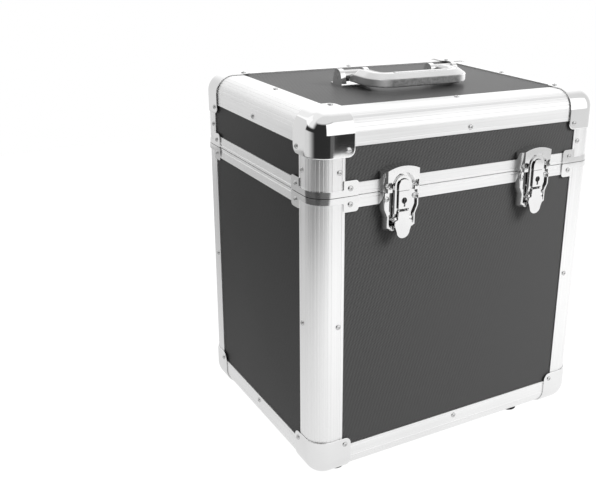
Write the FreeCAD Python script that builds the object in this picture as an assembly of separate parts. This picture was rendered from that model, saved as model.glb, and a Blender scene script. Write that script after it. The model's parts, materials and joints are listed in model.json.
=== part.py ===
import FreeCAD, Part
import math
import os

# Record carrying case: panels held in slotted corner extrusions, ball corners, a hinged lid
# with two toggle latches, and a folding handle. Millimetres, +Z up.
# The origin lies on the floor under the middle of the case, and the front faces -Y.

Vector = FreeCAD.Vector

# Case
case_width = 350.0
case_depth = 273.0
base_height = 302.0
lid_height = 79.0
foot_height = 6.0
panel_thickness = 5.0
lining_thickness = 3.0

# Corner extrusions
edge_radius = 20.0
flange_width = 32.0
skin_thickness = 1.3
lip_thickness = 1.2
slot_clearance = 1.5
ridge_width = 0.9
ridge_depth = 0.4
flat_ridges = 2
round_ridges = 3

# Rim rails that meet at the split
rim_height = 12.0
rim_top = 4.5
rim_line = 3.0
split_gap = 0.6
tongue_width = 1.8
tongue_height = 2.4
tongue_side_gap = 0.7
tongue_end_gap = 0.6

# How many flats stand for a round: in all, and in a quarter turn
rivet_sides = 8
small_sides = 10
large_sides = 16
quarter_flats = 4
arch_flats = 8

# Corner fittings
ball_reach = 41.5
ball_thickness = 1.5
ball_tip_radius = 7.0
clamp_reach = 46.0
clamp_thickness = 1.2
clamp_ear_height = 15.0
clamp_ear_width = 16.0
clamp_band = 6.0

# Rivets
rivet_radius = 2.8
rivet_height = 1.3
rivet_crown_share = 0.5
rivet_inset = 26.0
ball_rivet_inset = 34.5
clamp_rivet_inset = 37.0
clamp_rivet_height = 7.5
post_rivet_share = 0.56
lid_post_rivet_share = 0.3

# Feet
foot_radius = 10.5
foot_taper = 1.0
foot_inset = 26.0
left_foot_inset = 38.0
right_foot_inset = 72.0
screw_radius = 1.8
screw_head_radius = 4.0
screw_head_height = 1.8
screw_recess = 2.6
screw_side_gap = 0.8

# Latches
latch_inset = 90.5
tray_half_width = 21.5
tray_height = 5.0
tray_sheet = 1.2
flank_foot = 3.0
keeper_face = 10.3
keeper_flank = 3.6
keeper_top_step = 0.6
keeper_shoulder = 20.4
keeper_crown = 26.0
plate_rim = 7.5
plate_flank = 2.2
plate_rim_width = 1.4
dimple_side_gap = 0.9
plate_shoulder = 16.5
plate_waist = 24.6
plate_foot_half_width = 18.0
plate_foot_side = 38.0
plate_foot = 42.2
groove_side_gap = 3.1
boss_half_width = 6.5
boss_height = 12.0
boss_foot = 1.4
boss_crown = 12.6
housing_top = 1.1
housing_foot = 16.8
housing_half_width = 6.2
bail_inner = 6.9
bail_outer = 9.6
bail_back = 6.2
bail_front = 9.8
bail_crown = 16.0
lever_pin_drop = 21.0
lever_pin_standoff = 8.6
bail_pin_drop = 27.4
bail_pin_standoff = 8.0
lever_pin_radius = 1.2
bail_pin_radius = 1.5
bail_pin_reach = 11.0
bail_eye_radius = 2.7
bail_notch_height = 5.6
bail_notch_front = 8.4
lever_wall_outer = 6.1
lever_sheet = 1.2
lever_barrel_radius = 3.2
lever_wall_foot = 30.5
lever_wall_back = 6.0
lug_outer = 4.6
lug_thickness = 2.0
lug_radius = 1.8
tongue_top = 19.5
tongue_top_half = 6.1
tongue_neck_half = 6.6
tongue_neck_drop = 27.9
tongue_shoulder_half = 9.6
tongue_shoulder_drop = 29.6
tongue_shoulder_end = 34.0
tongue_tip_radius = 7.5
tongue_tip_drop = 47.0
running_gap = 0.06
keeper_rivet_side = 15.5
keeper_rivet_rise = 7.0
plate_rivet_side = 16.0
plate_rivet_drop = 7.2
foot_rivet_side = 8.5
foot_rivet_drop = 37.6

# Key lock
lock_drop = 8.6
plug_radius = 3.5
plug_end_gap = 0.3
keyhole_radius = 3.2
keyhole_slot_width = 2.6
keyhole_slot_reach = 6.2
face_sheet = 1.2
key_slot_width = 1.4
key_slot_length = 5.0
key_slot_depth = 4.0
cam_length = 8.0
cam_half_width = 2.4
cam_thickness = 1.2
cam_standoff = 1.3

# Hinges
hinge_inset = 85.0
hinge_width = 50.0
hinge_leaf_height = 26.0
hinge_sheet = 1.5
hinge_axis_standoff = 3.2
hinge_barrel_radius = 3.0
hinge_pin_radius = 1.6
hinge_knuckle_gap = 0.4
hinge_notch_gap = 0.5
hinge_middle_share = 0.36
hinge_rivet_share = 0.34
hinge_rivet_drop = 17.0

# Handle
bracket_middle = 58.5
bracket_width = 36.5
bracket_front = 10.0
bracket_back = 14.0
bracket_plate = 2.0
bracket_rivet_gap = 0.9
ear_thickness = 6.0
ear_radius = 8.0
pivot_height = 8.6
handle_pin_radius = 2.5
barrel_radius = 6.2
barrel_side_gap = 0.4
grip_half_span = 54.5
grip_reach = 47.5
grip_arm_start = 12.0
grip_neck_top = 4.0
grip_bend_radius = 18.0
grip_half_width = 10.0
grip_bottom = 3.0
grip_side_top = 11.6
grip_crest = 16.5
grip_crest_outer = 2.0
grip_crest_inner = 7.5
grip_edge = 1.5
insert_width = 6.0
insert_depth = 1.2
insert_proud = 0.4
insert_share = 0.9

# Places worked out from the sizes above
half_width = case_width / 2
half_depth = case_depth / 2
latch_offset = half_width - latch_inset
hinge_offset = half_width - hinge_inset
case_bottom = foot_height
split = foot_height + base_height
case_top = split + lid_height
slot_inner = skin_thickness + panel_thickness
lip_inner = slot_inner + lip_thickness
seat = edge_radius + slot_clearance
web = seat - lip_thickness
keeper_rivets = (keeper_rivet_side, keeper_rivet_rise)
plate_rivets = (plate_rivet_side, plate_rivet_drop)
plate_foot_rivets = (foot_rivet_side, foot_rivet_drop)
base_edge = split - split_gap / 2
lid_edge = split + split_gap / 2
panel_face = case_top - skin_thickness
corners = {"front_left": (-1, -1), "front_right": (1, -1), "back_left": (-1, 1), "back_right": (1, 1)}
X = Vector(1, 0, 0)
Y = Vector(0, 1, 0)
Z = Vector(0, 0, 1)

os.makedirs("parts", exist_ok=True)
saved_nodes = []


def save(name, shapes):
    """Writes one node: a solid, or a list of separate solids."""
    if not isinstance(shapes, list):
        shapes = [shapes]
    solids = []
    for shape in shapes:
        solids.extend(shape.removeSplitter().Solids)
    whole = solids[0] if len(solids) == 1 else Part.makeCompound(solids)
    whole.exportStep("parts/" + name + ".step")
    saved_nodes.append(name)


def block(low, high):
    """A box between two corners."""
    size = [b - a for a, b in zip(low, high)]
    return Part.makeBox(size[0], size[1], size[2], Vector(*low))


def polygon(points):
    """A flat face through the points."""
    corners_3d = [Vector(*point) for point in points]
    return Part.Face(Part.makePolygon(corners_3d + corners_3d[:1]))


def crown_points(half, spring, crown):
    """Corners of the flats that stand for an arc from side to side; the crown may hang down."""
    rise = crown - spring
    radius = (half ** 2 + rise ** 2) / (2 * rise)
    spread = math.atan2(half, abs(radius) - abs(rise))
    centre = crown - radius
    angles = [spread * (1 - 2 * i / arch_flats) for i in range(arch_flats + 1)]
    return [Vector(abs(radius) * math.sin(a), 0, centre + radius * math.cos(a)) for a in angles]


def mirrored(shape, sx, sy):
    """The shape, mirrored where a sign is negative."""
    result = shape
    if sx < 0:
        result = result.mirror(Vector(), X)
    if sy < 0:
        result = result.mirror(Vector(), Y)
    return result


def pin(centre, direction, radius, length):
    """A true cylinder that starts at the centre and runs along the direction."""
    return Part.makeCylinder(radius, length, Vector(*centre), direction)


def ring(centre, direction, radius, sides):
    """Corners of a regular outline round an axis."""
    across = X if direction.z else Z
    beside = direction.cross(across)
    turn = 2 * math.pi / sides
    angles = [turn * (i + 0.5) for i in range(sides)]
    return [centre + across * (radius * math.cos(a)) + beside * (radius * math.sin(a)) for a in angles]


def prismoid(low, high):
    """A solid between two outlines with the same number of corners."""
    faces = [polygon(low), polygon(high)]
    for i in range(len(low)):
        j = (i + 1) % len(low)
        faces.append(polygon([low[i], low[j], high[j]]))
        faces.append(polygon([low[i], high[j], high[i]]))
    shell = Part.makeShell(faces)
    shell.sewShape()
    solid = Part.Solid(shell).removeSplitter()
    return solid.reversed() if solid.Volume < 0 else solid


def drum(centre, direction, low_radius, high_radius, length, sides):
    """A round piece with flats, straight or tapered, that starts at the centre."""
    start = Vector(*centre)
    low = ring(start, direction, low_radius, sides)
    high = ring(start + direction * length, direction, high_radius, sides)
    return prismoid(low, high)


def rod(centre, direction, radius, length, sides=small_sides):
    """A straight round piece with flats."""
    return drum(centre, direction, radius, radius, length, sides)


def hole(centre, direction, radius, length, sides=small_sides):
    """The room of a hole whose flats touch a pin of the radius."""
    return rod(centre, direction, radius / math.cos(math.pi / sides), length, sides)


def frame_from(origin, u_axis, v_axis):
    """A placement that carries local X and Y to the two axes given."""
    w_axis = u_axis.cross(v_axis)
    matrix = FreeCAD.Matrix(
        u_axis.x, v_axis.x, w_axis.x, origin.x,
        u_axis.y, v_axis.y, w_axis.y, origin.y,
        u_axis.z, v_axis.z, w_axis.z, origin.z,
        0, 0, 0, 1)
    return FreeCAD.Placement(matrix)


def round_point(angle, radius):
    """A point of the corner's round stretch; angle zero lies on the first flat."""
    return Vector(edge_radius - radius * math.sin(angle), edge_radius - radius * math.cos(angle), 0)


def extrusion_section():
    """Section of a corner extrusion, with both faces measured inward from its outer corner."""
    half = ridge_width / 2
    pitch = (flange_width - edge_radius) / flat_ridges
    first_flat = [(flange_width, 0, 0)]
    for i in reversed(range(flat_ridges)):
        mark = edge_radius + pitch * (i + 0.5)
        first_flat += [(mark + half, 0, 0), (mark, ridge_depth, 0), (mark - half, 0, 0)]
    second_flat = [(y, x, z) for x, y, z in reversed(first_flat)]
    turn = math.pi / 2 / round_ridges
    half_angle = half / edge_radius
    bend = []
    for i in range(round_ridges):
        middle = turn * (i + 0.5)
        bend.append(round_point(turn * i, edge_radius))
        bend.append(round_point(middle - half_angle, edge_radius))
        bend.append(round_point(middle, edge_radius - ridge_depth))
        bend.append(round_point(middle + half_angle, edge_radius))
    bend.append(round_point(math.pi / 2, edge_radius))
    slots = [
        (skin_thickness, flange_width, 0), (skin_thickness, seat, 0), (slot_inner, seat, 0),
        (slot_inner, flange_width, 0), (lip_inner, flange_width, 0), (lip_inner, web, 0),
        (web, lip_inner, 0), (flange_width, lip_inner, 0), (flange_width, slot_inner, 0),
        (seat, slot_inner, 0), (seat, skin_thickness, 0), (flange_width, skin_thickness, 0),
    ]
    outline = polygon(first_flat + bend + second_flat + slots)

    # The closed chamber behind the round stretch
    inner_radius = edge_radius - skin_thickness
    chamber_corner = lip_inner - lip_thickness * math.sqrt(2)
    step = math.pi / 2 / quarter_flats
    chamber = [round_point(step * i, inner_radius) for i in range(quarter_flats + 1)]
    chamber += [(skin_thickness, web, 0), (chamber_corner, web, 0)]
    chamber += [(web, chamber_corner, 0), (web, skin_thickness, 0)]
    return outline.cut(polygon(chamber))


def extrusion(origin, u_axis, v_axis, length):
    """A corner extrusion whose section opens along two axes from the outer corner."""
    bar = extrusion_section().extrude(Z * length)
    bar.Placement = frame_from(origin, u_axis, v_axis)
    return bar


def post(sx, sy, z_low, z_high):
    """An upright extrusion at one corner."""
    bar = extrusion(Vector(-half_width, -half_depth, z_low), X, Y, z_high - z_low)
    return mirrored(bar, -sx, -sy)


def long_edge(sy, top):
    """An extrusion along X at the front or back, under or over the case."""
    run = case_width - 2 * flange_width
    z = case_top if top else case_bottom
    up = Z * -1 if top else Z
    start = Vector(-run / 2, -half_depth, z)
    if top:
        start = Vector(run / 2, -half_depth, z)
    bar = extrusion(start, Y, up, run)
    return mirrored(bar, 1, -sy)


def side_edge(sx, top):
    """An extrusion along Y at the left or right, under or over the case."""
    run = case_depth - 2 * flange_width
    z = case_top if top else case_bottom
    up = Z * -1 if top else Z
    start = Vector(-half_width, run / 2, z)
    if top:
        start = Vector(-half_width, -run / 2, z)
    bar = extrusion(start, X, up, run)
    return mirrored(bar, -sx, 1)


def panels():
    """The five panels of the base and the five of the lid."""
    across = half_width - seat
    along = half_depth - seat
    outer_x = half_width - skin_thickness
    outer_y = half_depth - skin_thickness
    spans = {
        "base": (case_bottom + seat, base_edge - rim_top),
        "lid": (lid_edge + rim_top, case_top - seat),
    }
    for part, (low, high) in spans.items():
        front = block((-across, -outer_y, low), (across, -outer_y + panel_thickness, high))
        left = block((-outer_x, -along, low), (-outer_x + panel_thickness, along, high))
        save(part + "_front_panel", front)
        save(part + "_back_panel", mirrored(front, 1, -1))
        save(part + "_left_panel", left)
        save(part + "_right_panel", mirrored(left, -1, 1))
    floor_low = case_bottom + skin_thickness
    floor_high = floor_low + panel_thickness
    save("base_floor_panel", block((-across, -along, floor_low), (across, along, floor_high)))
    top_low = panel_face - panel_thickness
    save("lid_top_panel", block((-across, -along, top_low), (across, along, panel_face)))


def rim_section(up):
    """Section of a rim rail in depth and height; up is 1 for the base and -1 for the lid."""
    edge = base_edge if up > 0 else lid_edge
    middle = lip_inner / 2
    half = tongue_width / 2
    foot = edge - up * rim_height
    slot_end = edge - up * rim_top
    line = edge - up * rim_line
    line_half = up * ridge_width / 2
    outline = [(0, foot), (0, line - line_half), (ridge_depth, line), (0, line + line_half), (0, edge)]
    if up > 0:
        tip = edge + up * tongue_height
        outline += [(middle - half, edge), (middle - half, tip)]
        outline += [(middle + half, tip), (middle + half, edge)]
    else:
        wide = half + tongue_side_gap
        deep = edge + tongue_height + tongue_end_gap - split_gap
        outline += [(middle - wide, edge), (middle - wide, deep)]
        outline += [(middle + wide, deep), (middle + wide, edge)]
    outline += [(lip_inner, edge), (lip_inner, foot), (slot_inner, foot), (slot_inner, slot_end)]
    outline += [(skin_thickness, slot_end), (skin_thickness, foot)]
    return outline


def rim(up):
    """Four rails round the split, between the posts."""
    run_x = case_width - 2 * flange_width
    run_y = case_depth - 2 * flange_width
    section = rim_section(up)
    front = polygon([(-run_x / 2, -half_depth + deep, z) for deep, z in section]).extrude(X * run_x)
    left = polygon([(-half_width + deep, -run_y / 2, z) for deep, z in section]).extrude(Y * run_y)
    return [front, mirrored(front, 1, -1), left, mirrored(left, -1, 1)]


def facet_directions():
    """Directions of the flats that stand for the ball and the three rounded edges that meet in it."""
    found = []
    for i in range(quarter_flats + 1):
        for j in range(quarter_flats + 1 - i):
            k = quarter_flats - i - j
            if max(i, j, k) < quarter_flats:
                found.append(Vector(-i, -j, -k).normalize())
    return found


def rounded_corner(outset):
    """A block whose corner at the origin side is rounded by flats, grown by the outset."""
    size = ball_reach * 2
    solid = Part.makeBox(size, size, size, Vector(-outset, -outset, -outset))
    centre = Vector(edge_radius, edge_radius, edge_radius)
    for outward in facet_directions():
        beside = Vector(-outward.z, outward.x, -outward.y)
        u_axis = outward.cross(beside).normalize()
        v_axis = outward.cross(u_axis)
        room = Part.makeBox(2 * size, 2 * size, size, Vector(-size, -size, 0))
        room.Placement = frame_from(centre + outward * (edge_radius + outset), u_axis, v_axis)
        solid = solid.cut(room)
    return solid


def leaf_prism(axis):
    """The outline of a leaf, a square with its free corner rounded, swept along one axis."""
    low = -ball_thickness
    high = ball_reach
    far = high - ball_tip_radius
    points = [(low, high, 0), (low, low, 0), (high, low, 0)]
    for i in range(quarter_flats + 1):
        angle = math.pi / 2 * i / quarter_flats
        across = far + ball_tip_radius * math.cos(angle)
        points.append((across, far + ball_tip_radius * math.sin(angle), 0))
    prism = polygon(points).extrude(Z * (ball_reach * 2))
    prism.translate(Vector(0, 0, low))
    turns = {"z": (X, Y), "x": (Y, Z), "y": (Z, X)}
    prism.Placement = frame_from(Vector(), *turns[axis]).multiply(prism.Placement)
    return prism


def ball_corner():
    """A pressed three-leaf corner cap, modelled at a corner that opens along +X, +Y and +Z."""
    shell = rounded_corner(ball_thickness).cut(rounded_corner(0))
    for axis in ("x", "y", "z"):
        shell = shell.common(leaf_prism(axis))
    return shell


def place_corner(cap, sx, sy, top):
    """Carries the corner cap to one of the eight corners."""
    moved = cap.copy()
    if top:
        moved = moved.mirror(Vector(), Z)
    moved.translate(Vector(-half_width, -half_depth, case_top if top else case_bottom))
    return mirrored(moved, -sx, -sy)


def wrap_points(radius):
    """Corners of the flats that touch a quarter round of the radius from outside."""
    step = math.pi / 2 / quarter_flats
    reach = radius / math.cos(step / 2)
    return [round_point(step * (i + 0.5), reach) for i in range(quarter_flats)]


def clamp(sx, sy, up):
    """A sheet clamp wrapped round a post at the split, with an ear on each face."""
    outside = [(clamp_reach, -clamp_thickness, 0)] + wrap_points(edge_radius + clamp_thickness)
    outside.append((-clamp_thickness, clamp_reach, 0))
    inside = [(0, clamp_reach, 0)] + wrap_points(edge_radius)[::-1] + [(clamp_reach, 0, 0)]
    strip = polygon(outside + inside).extrude(Z * clamp_ear_height)
    ear_start = clamp_reach - clamp_ear_width
    above = clamp_ear_height * 2
    inner_cut = block((-edge_radius, -edge_radius, clamp_band), (ear_start, ear_start, above))
    strip = strip.cut(inner_cut)
    if up > 0:
        strip = strip.mirror(Vector(), Z)
    strip.translate(Vector(-half_width, -half_depth, base_edge if up > 0 else lid_edge))
    return mirrored(strip, -sx, -sy)


def rivet(point, outward):
    """A low domed rivet head seated on a face."""
    crown_radius = rivet_radius * rivet_crown_share
    return drum(point, outward, rivet_radius, crown_radius, rivet_height, rivet_sides)


def face_rivets(points):
    """Rivet heads on the front and back faces, from points (x, height, standoff) on the front."""
    heads = []
    for x, z, standoff in points:
        heads.append(rivet((x, -half_depth - standoff, z), Y * -1))
        heads.append(rivet((x, half_depth + standoff, z), Y))
    return heads


def side_rivets(points):
    """Rivet heads on the left and right faces, from points (y, height, standoff) on the left."""
    heads = []
    for y, z, standoff in points:
        heads.append(rivet((-half_width - standoff, y, z), X * -1))
        heads.append(rivet((half_width + standoff, y, z), X))
    return heads


def corner_rivets(post_height, ball_height, clamp_height):
    """The rivets that each part repeats at its four corners."""
    front = []
    side = []
    for sign in (-1, 1):
        rows = (
            (rivet_inset, post_height, 0),
            (ball_rivet_inset, ball_height, ball_thickness),
            (clamp_rivet_inset, clamp_height, clamp_thickness),
        )
        for inset, z, standoff in rows:
            front.append((sign * (half_width - inset), z, standoff))
            side.append((sign * (half_depth - inset), z, standoff))
    return face_rivets(front) + side_rivets(side)


def latch_rivets(offsets, up):
    """Rivet heads on the trays of both latches."""
    across, away = offsets
    heads = []
    for side in (-1, 1):
        for sign in (-1, 1):
            x = side * latch_offset + sign * across
            heads.append(rivet((x, -half_depth - tray_height, split + up * away), Y * -1))
    return heads


def hinge_rivets(up):
    """Rivet heads on the hinge leaves of one part."""
    heads = []
    for side in (-1, 1):
        for sign in (-1, 1):
            x = side * hinge_offset + sign * hinge_width * hinge_rivet_share
            heads.append(rivet((x, half_depth + hinge_sheet, split - up * hinge_rivet_drop), Y))
    return heads


def base_rivets():
    """All rivets of the base."""
    post_height = case_bottom + base_height * post_rivet_share
    heads = corner_rivets(post_height, case_bottom + ball_rivet_inset, base_edge - clamp_rivet_height)
    heads += face_rivets([(0, case_bottom + rivet_inset, 0)])
    heads += side_rivets([(0, case_bottom + rivet_inset, 0)])
    heads += latch_rivets(plate_rivets, -1)
    heads += latch_rivets(plate_foot_rivets, -1)
    heads += hinge_rivets(1)
    return heads


def lid_rivets():
    """All rivets of the lid, on its sides and on its top."""
    post_height = split + lid_height * lid_post_rivet_share
    heads = corner_rivets(post_height, case_top - ball_rivet_inset, lid_edge + clamp_rivet_height)
    heads += face_rivets([(0, case_top - rivet_inset, 0)])
    heads += side_rivets([(0, case_top - rivet_inset, 0)])
    heads += latch_rivets(keeper_rivets, 1)
    heads += hinge_rivets(-1)
    top_points = [(0, half_depth - rivet_inset, 0), (half_width - rivet_inset, 0, 0)]
    for x, y, standoff in top_points:
        heads.append(rivet((x, y, case_top + standoff), Z))
        heads.append(rivet((-x, -y, case_top + standoff), Z))
    for sx, sy in corners.values():
        x = sx * (half_width - ball_rivet_inset)
        y = sy * (half_depth - ball_rivet_inset)
        heads.append(rivet((x, y, case_top + ball_thickness), Z))
    ear_space = bracket_width / 2 - ear_thickness
    for side in (-1, 1):
        for sign in (-1, 1):
            x = side * bracket_middle + sign * ear_space / 2
            y = bracket_back - rivet_radius - bracket_rivet_gap
            heads.append(rivet((x, y, panel_face + bracket_plate), Z))
    return heads


def feet():
    """Four tapered rubber feet, each with a recess for its screw, and the screws."""
    pads = []
    screws = []
    places = [(-half_width + left_foot_inset, -half_depth + foot_inset),
              (half_width - right_foot_inset, -half_depth + foot_inset)]
    leaf_low = case_bottom - ball_thickness
    for x, front_y in places:
        for y in (front_y, -front_y):
            pad = drum((x, y, 0), Z, foot_radius - foot_taper, foot_radius, foot_height, large_sides)
            recess_radius = screw_head_radius + screw_side_gap
            pad = pad.cut(rod((x, y, 0), Z, recess_radius, screw_recess + screw_head_height))
            pad = pad.cut(rod((x, y, 0), Z, screw_radius, foot_height, rivet_sides))
            corner_x = -half_width + ball_reach
            leaf_y = half_depth - ball_reach
            y_low, y_high = (leaf_y, half_depth) if y > 0 else (-half_depth, -leaf_y)
            pad = pad.cut(block((-half_width, y_low, leaf_low), (corner_x, y_high, case_bottom)))
            pads.append(pad)
            head = rod((x, y, screw_recess), Z, screw_head_radius, screw_head_height, rivet_sides)
            shank = rod((x, y, screw_recess), Z, screw_radius, leaf_low - screw_recess, rivet_sides)
            screws.append(head.fuse(shank))
    return pads, screws


def lining(low, high, end, flip):
    """Four wall sheets and one end sheet, as separate solids."""
    across = half_width - seat
    along = half_depth - seat
    outer_x = half_width - lip_inner
    outer_y = half_depth - lip_inner
    front = block((-across, -outer_y, low), (across, -outer_y + lining_thickness, high))
    left = block((-outer_x, -along, low), (-outer_x + lining_thickness, along, high))
    end_far = end + flip * lining_thickness
    sheet = block((-across, -along, min(end, end_far)), (across, along, max(end, end_far)))
    return [front, mirrored(front, 1, -1), left, mirrored(left, -1, 1), sheet]


def raised(points, low, high):
    """A solid swept out from the case front, from one standoff to another."""
    solid = polygon(points).extrude(Y * (low - high))
    solid.translate(Y * -low)
    return solid


def flanked(foot_outline, face_outline, top):
    """A plate with upright walls at its foot and sloping flanks above them."""
    foot = raised(foot_outline, -skin_thickness, flank_foot)
    low = [point - Y * flank_foot for point in foot_outline]
    high = [point - Y * top for point in face_outline]
    return foot.fuse(prismoid(low, high))


def back_pocket(outline):
    """The hollow behind a latch plate."""
    return raised(outline, -skin_thickness * 2, tray_height - tray_sheet)


def dimple(offsets, up, reach):
    """Round pockets in a latch plate where its rivets sit."""
    across, away = offsets
    radius = rivet_radius + dimple_side_gap
    z = split + up * away
    return [rod((sign * across, -tray_height, z), Y * -1, radius, reach) for sign in (-1, 1)]


def rim_space():
    """The room that the two rim rails take behind the latch plates."""
    return block((-tray_half_width * 2, 0, split - rim_height - split_gap / 2),
                 (tray_half_width * 2, tray_half_width, split + rim_height + split_gap / 2))


def arch(half, foot, crown):
    """An upright outline with a half-round top, in the plane of the case front."""
    return [Vector(-half, 0, foot), Vector(half, 0, foot)] + crown_points(half, crown - half, crown)


def keeper_outline(inset, step):
    """Outline of the upper latch plate: its sides drawn in by an inset, its crown down by a step."""
    half = tray_half_width - inset
    rise = keeper_crown - keeper_shoulder
    radius = (tray_half_width ** 2 + rise ** 2) / (2 * rise)
    crown = split + keeper_crown - step
    shoulder = crown - radius + math.sqrt(radius ** 2 - half ** 2)
    foot = [Vector(-half, 0, lid_edge), Vector(half, 0, lid_edge)]
    return foot + crown_points(half, shoulder, crown)


def latch_keeper():
    """The upper latch plate: a groove for the bail runs round the boss that it hooks over."""
    foot_outline = keeper_outline(0, 0)
    body = flanked(foot_outline, keeper_outline(keeper_flank, keeper_top_step), keeper_face)
    groove_half = bail_outer + groove_side_gap
    groove_crown = split + bail_crown + groove_side_gap
    groove = raised(arch(groove_half, split - split_gap, groove_crown), tray_height, boss_height)
    boss_outline = arch(boss_half_width, split + boss_foot, split + boss_crown)
    boss = raised(boss_outline, tray_height - tray_sheet, boss_height)
    rooms = [groove, back_pocket(keeper_outline(tray_sheet, tray_sheet)), rim_space()]
    return body.cut(rooms + dimple(keeper_rivets, 1, keeper_face)).fuse(boss)


def plate_outline(inset):
    """Outline of the lower latch plate, drawn in by an inset."""
    half = tray_half_width - inset
    foot_half = plate_foot_half_width - inset
    side_foot = split - plate_foot_side + inset
    right = [
        Vector(half, 0, base_edge),
        Vector(half, 0, split - plate_shoulder),
        Vector(foot_half, 0, split - plate_waist),
    ]
    left = [Vector(-point.x, 0, point.z) for point in reversed(right)]
    foot = crown_points(foot_half, side_foot, split - plate_foot + inset)
    return right + foot + left


def lock_housing():
    """The housing of the key lock, with the plug's bore and the keyhole in its face."""
    housing = block((-housing_half_width, -boss_height, split - housing_foot),
                    (housing_half_width, tray_sheet - tray_height, split + housing_top))
    back = -tray_height - split_gap
    top = split + housing_top
    return housing.cut(block((-housing_half_width, back, base_edge), (housing_half_width, 0, top)))


def latch_plate():
    """The lower latch plate: a rim, the lock housing and the two lugs that carry the lever's pin."""
    body = flanked(plate_outline(0), plate_outline(plate_flank), plate_rim)
    rim_inset = plate_flank + plate_rim_width
    floor = raised(plate_outline(rim_inset), tray_height, boss_height)
    floor_half = tray_half_width - rim_inset
    shoulder = split - plate_shoulder
    floor_end = block((-floor_half, -boss_height, shoulder), (floor_half, -tray_height, split))
    dimples = dimple(plate_rivets, -1, boss_height) + dimple(plate_foot_rivets, -1, boss_height)
    body = body.cut([floor, floor_end, back_pocket(plate_outline(tray_sheet)), rim_space()] + dimples)
    body = body.fuse(lock_housing())

    lock_z = split - lock_drop
    bore_front = boss_height - face_sheet
    plug_bore = hole((0, 0, lock_z), Y * -1, plug_radius + running_gap, bore_front)
    keyhole = rod((0, 0, lock_z), Y * -1, keyhole_radius, boss_height)
    key_bit = block((-keyhole_slot_width / 2, -boss_height, lock_z - keyhole_slot_reach),
                    (keyhole_slot_width / 2, -bore_front, lock_z))
    body = body.cut([plug_bore, keyhole, key_bit])

    pin_z = split - lever_pin_drop
    for side_sign in (-1, 1):
        x_low = side_sign * (lug_outer - lug_thickness / 2) - lug_thickness / 2
        lug = rod((x_low, -lever_pin_standoff, pin_z), X, lug_radius, lug_thickness)
        root = block((x_low, -lever_pin_standoff, pin_z - lug_radius),
                     (x_low + lug_thickness, -tray_height + tray_sheet / 2, pin_z + lug_radius))
        body = body.fuse([lug, root])
    return body.cut(hole((-lug_outer, -lever_pin_standoff, pin_z), X, lever_pin_radius, 2 * lug_outer))


def latch_lever_pin():
    """The pin that the lever turns on."""
    reach = lever_wall_outer + running_gap
    return pin((-reach, -lever_pin_standoff, split - lever_pin_drop), X, lever_pin_radius, 2 * reach)


def lever_wall(x_low):
    """One side wall of the lever, with an eye for each of its two pins."""
    pin_z = split - lever_pin_drop
    foot = split - lever_wall_foot
    back = -boss_height + lever_sheet
    sheet = polygon([
        (x_low, -lever_pin_standoff + lever_barrel_radius, pin_z),
        (x_low, -lever_wall_back, foot),
        (x_low, back, foot),
        (x_low, back, pin_z),
    ]).extrude(X * lever_sheet)
    barrel = rod((x_low, -lever_pin_standoff, pin_z), X, lever_barrel_radius, lever_sheet)
    in_front = block((x_low, -boss_height * 2, foot), (x_low + lever_sheet, back, split))
    return sheet.fuse(barrel).cut(in_front)


def latch_lever():
    """The lever: two walls round the pins and a tongue that flares and ends round."""
    pin_z = split - lever_pin_drop
    bail_z = split - bail_pin_drop
    walls = [lever_wall(lever_wall_outer - lever_sheet), lever_wall(-lever_wall_outer)]
    tip = split - tongue_tip_drop
    right = [
        Vector(tongue_top_half, 0, split - tongue_top),
        Vector(tongue_neck_half, 0, split - tongue_neck_drop),
        Vector(tongue_shoulder_half, 0, split - tongue_shoulder_drop),
        Vector(tongue_shoulder_half, 0, split - tongue_shoulder_end),
    ]
    left = [Vector(-point.x, 0, point.z) for point in reversed(right)]
    round_tip = crown_points(tongue_tip_radius, tip + tongue_tip_radius, tip)
    tongue = raised(right + round_tip + left, boss_height - lever_sheet, boss_height)
    body = tongue.fuse(walls)
    span = 2 * lever_wall_outer
    start = -lever_wall_outer
    lever_bore = hole((start, -lever_pin_standoff, pin_z), X, lever_pin_radius + running_gap, span)
    bail_bore = hole((start, -bail_pin_standoff, bail_z), X, bail_pin_radius, span)
    return body.cut([lever_bore, bail_bore])


def latch_bail_pin():
    """The pin that joins the bail to the lever."""
    z = split - bail_pin_drop
    return pin((-bail_pin_reach, -bail_pin_standoff, z), X, bail_pin_radius, 2 * bail_pin_reach)


def latch_bail():
    """The bail: an upturned U bar with an eye on each leg."""
    crown = split + bail_crown
    eye_z = split - bail_pin_drop
    leg_width = bail_outer - bail_inner
    bar = raised(arch(bail_outer, eye_z, crown), bail_back, bail_front)
    gap = raised(arch(bail_inner, eye_z - bail_eye_radius, crown - leg_width), bail_back, bail_front)
    notch_top = eye_z + bail_notch_height
    notch = block((-bail_outer, -bail_front, eye_z), (bail_outer, -bail_notch_front, notch_top))
    bar = bar.cut([gap, notch])
    eyes = []
    for x_low in (-bail_outer, bail_inner):
        eyes.append(rod((x_low, -bail_pin_standoff, eye_z), X, bail_eye_radius, leg_width))
    bore_radius = bail_pin_radius + running_gap
    bore = hole((-bail_outer, -bail_pin_standoff, eye_z), X, bore_radius, 2 * bail_outer)
    return bar.fuse(eyes).cut(bore)


def lock_plug():
    """The lock's turning plug with its key slot and the cam behind the tray."""
    z = split - lock_drop
    cam_back = cam_standoff
    cam_front = cam_standoff + cam_thickness
    plug_front = boss_height - face_sheet - plug_end_gap
    plug = rod((0, -cam_front, z), Y * -1, plug_radius, plug_front - cam_front)
    slot = block((-key_slot_width / 2, -plug_front, z - key_slot_length / 2),
                 (key_slot_width / 2, -plug_front + key_slot_depth, z + key_slot_length / 2))
    cam = block((0, -cam_front, z - cam_half_width), (cam_length, -cam_back, z + cam_half_width))
    cam_end = rod((0, -cam_back, z), Y * -1, cam_half_width, cam_thickness)
    return plug.cut(slot).fuse([cam, cam_end])


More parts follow.
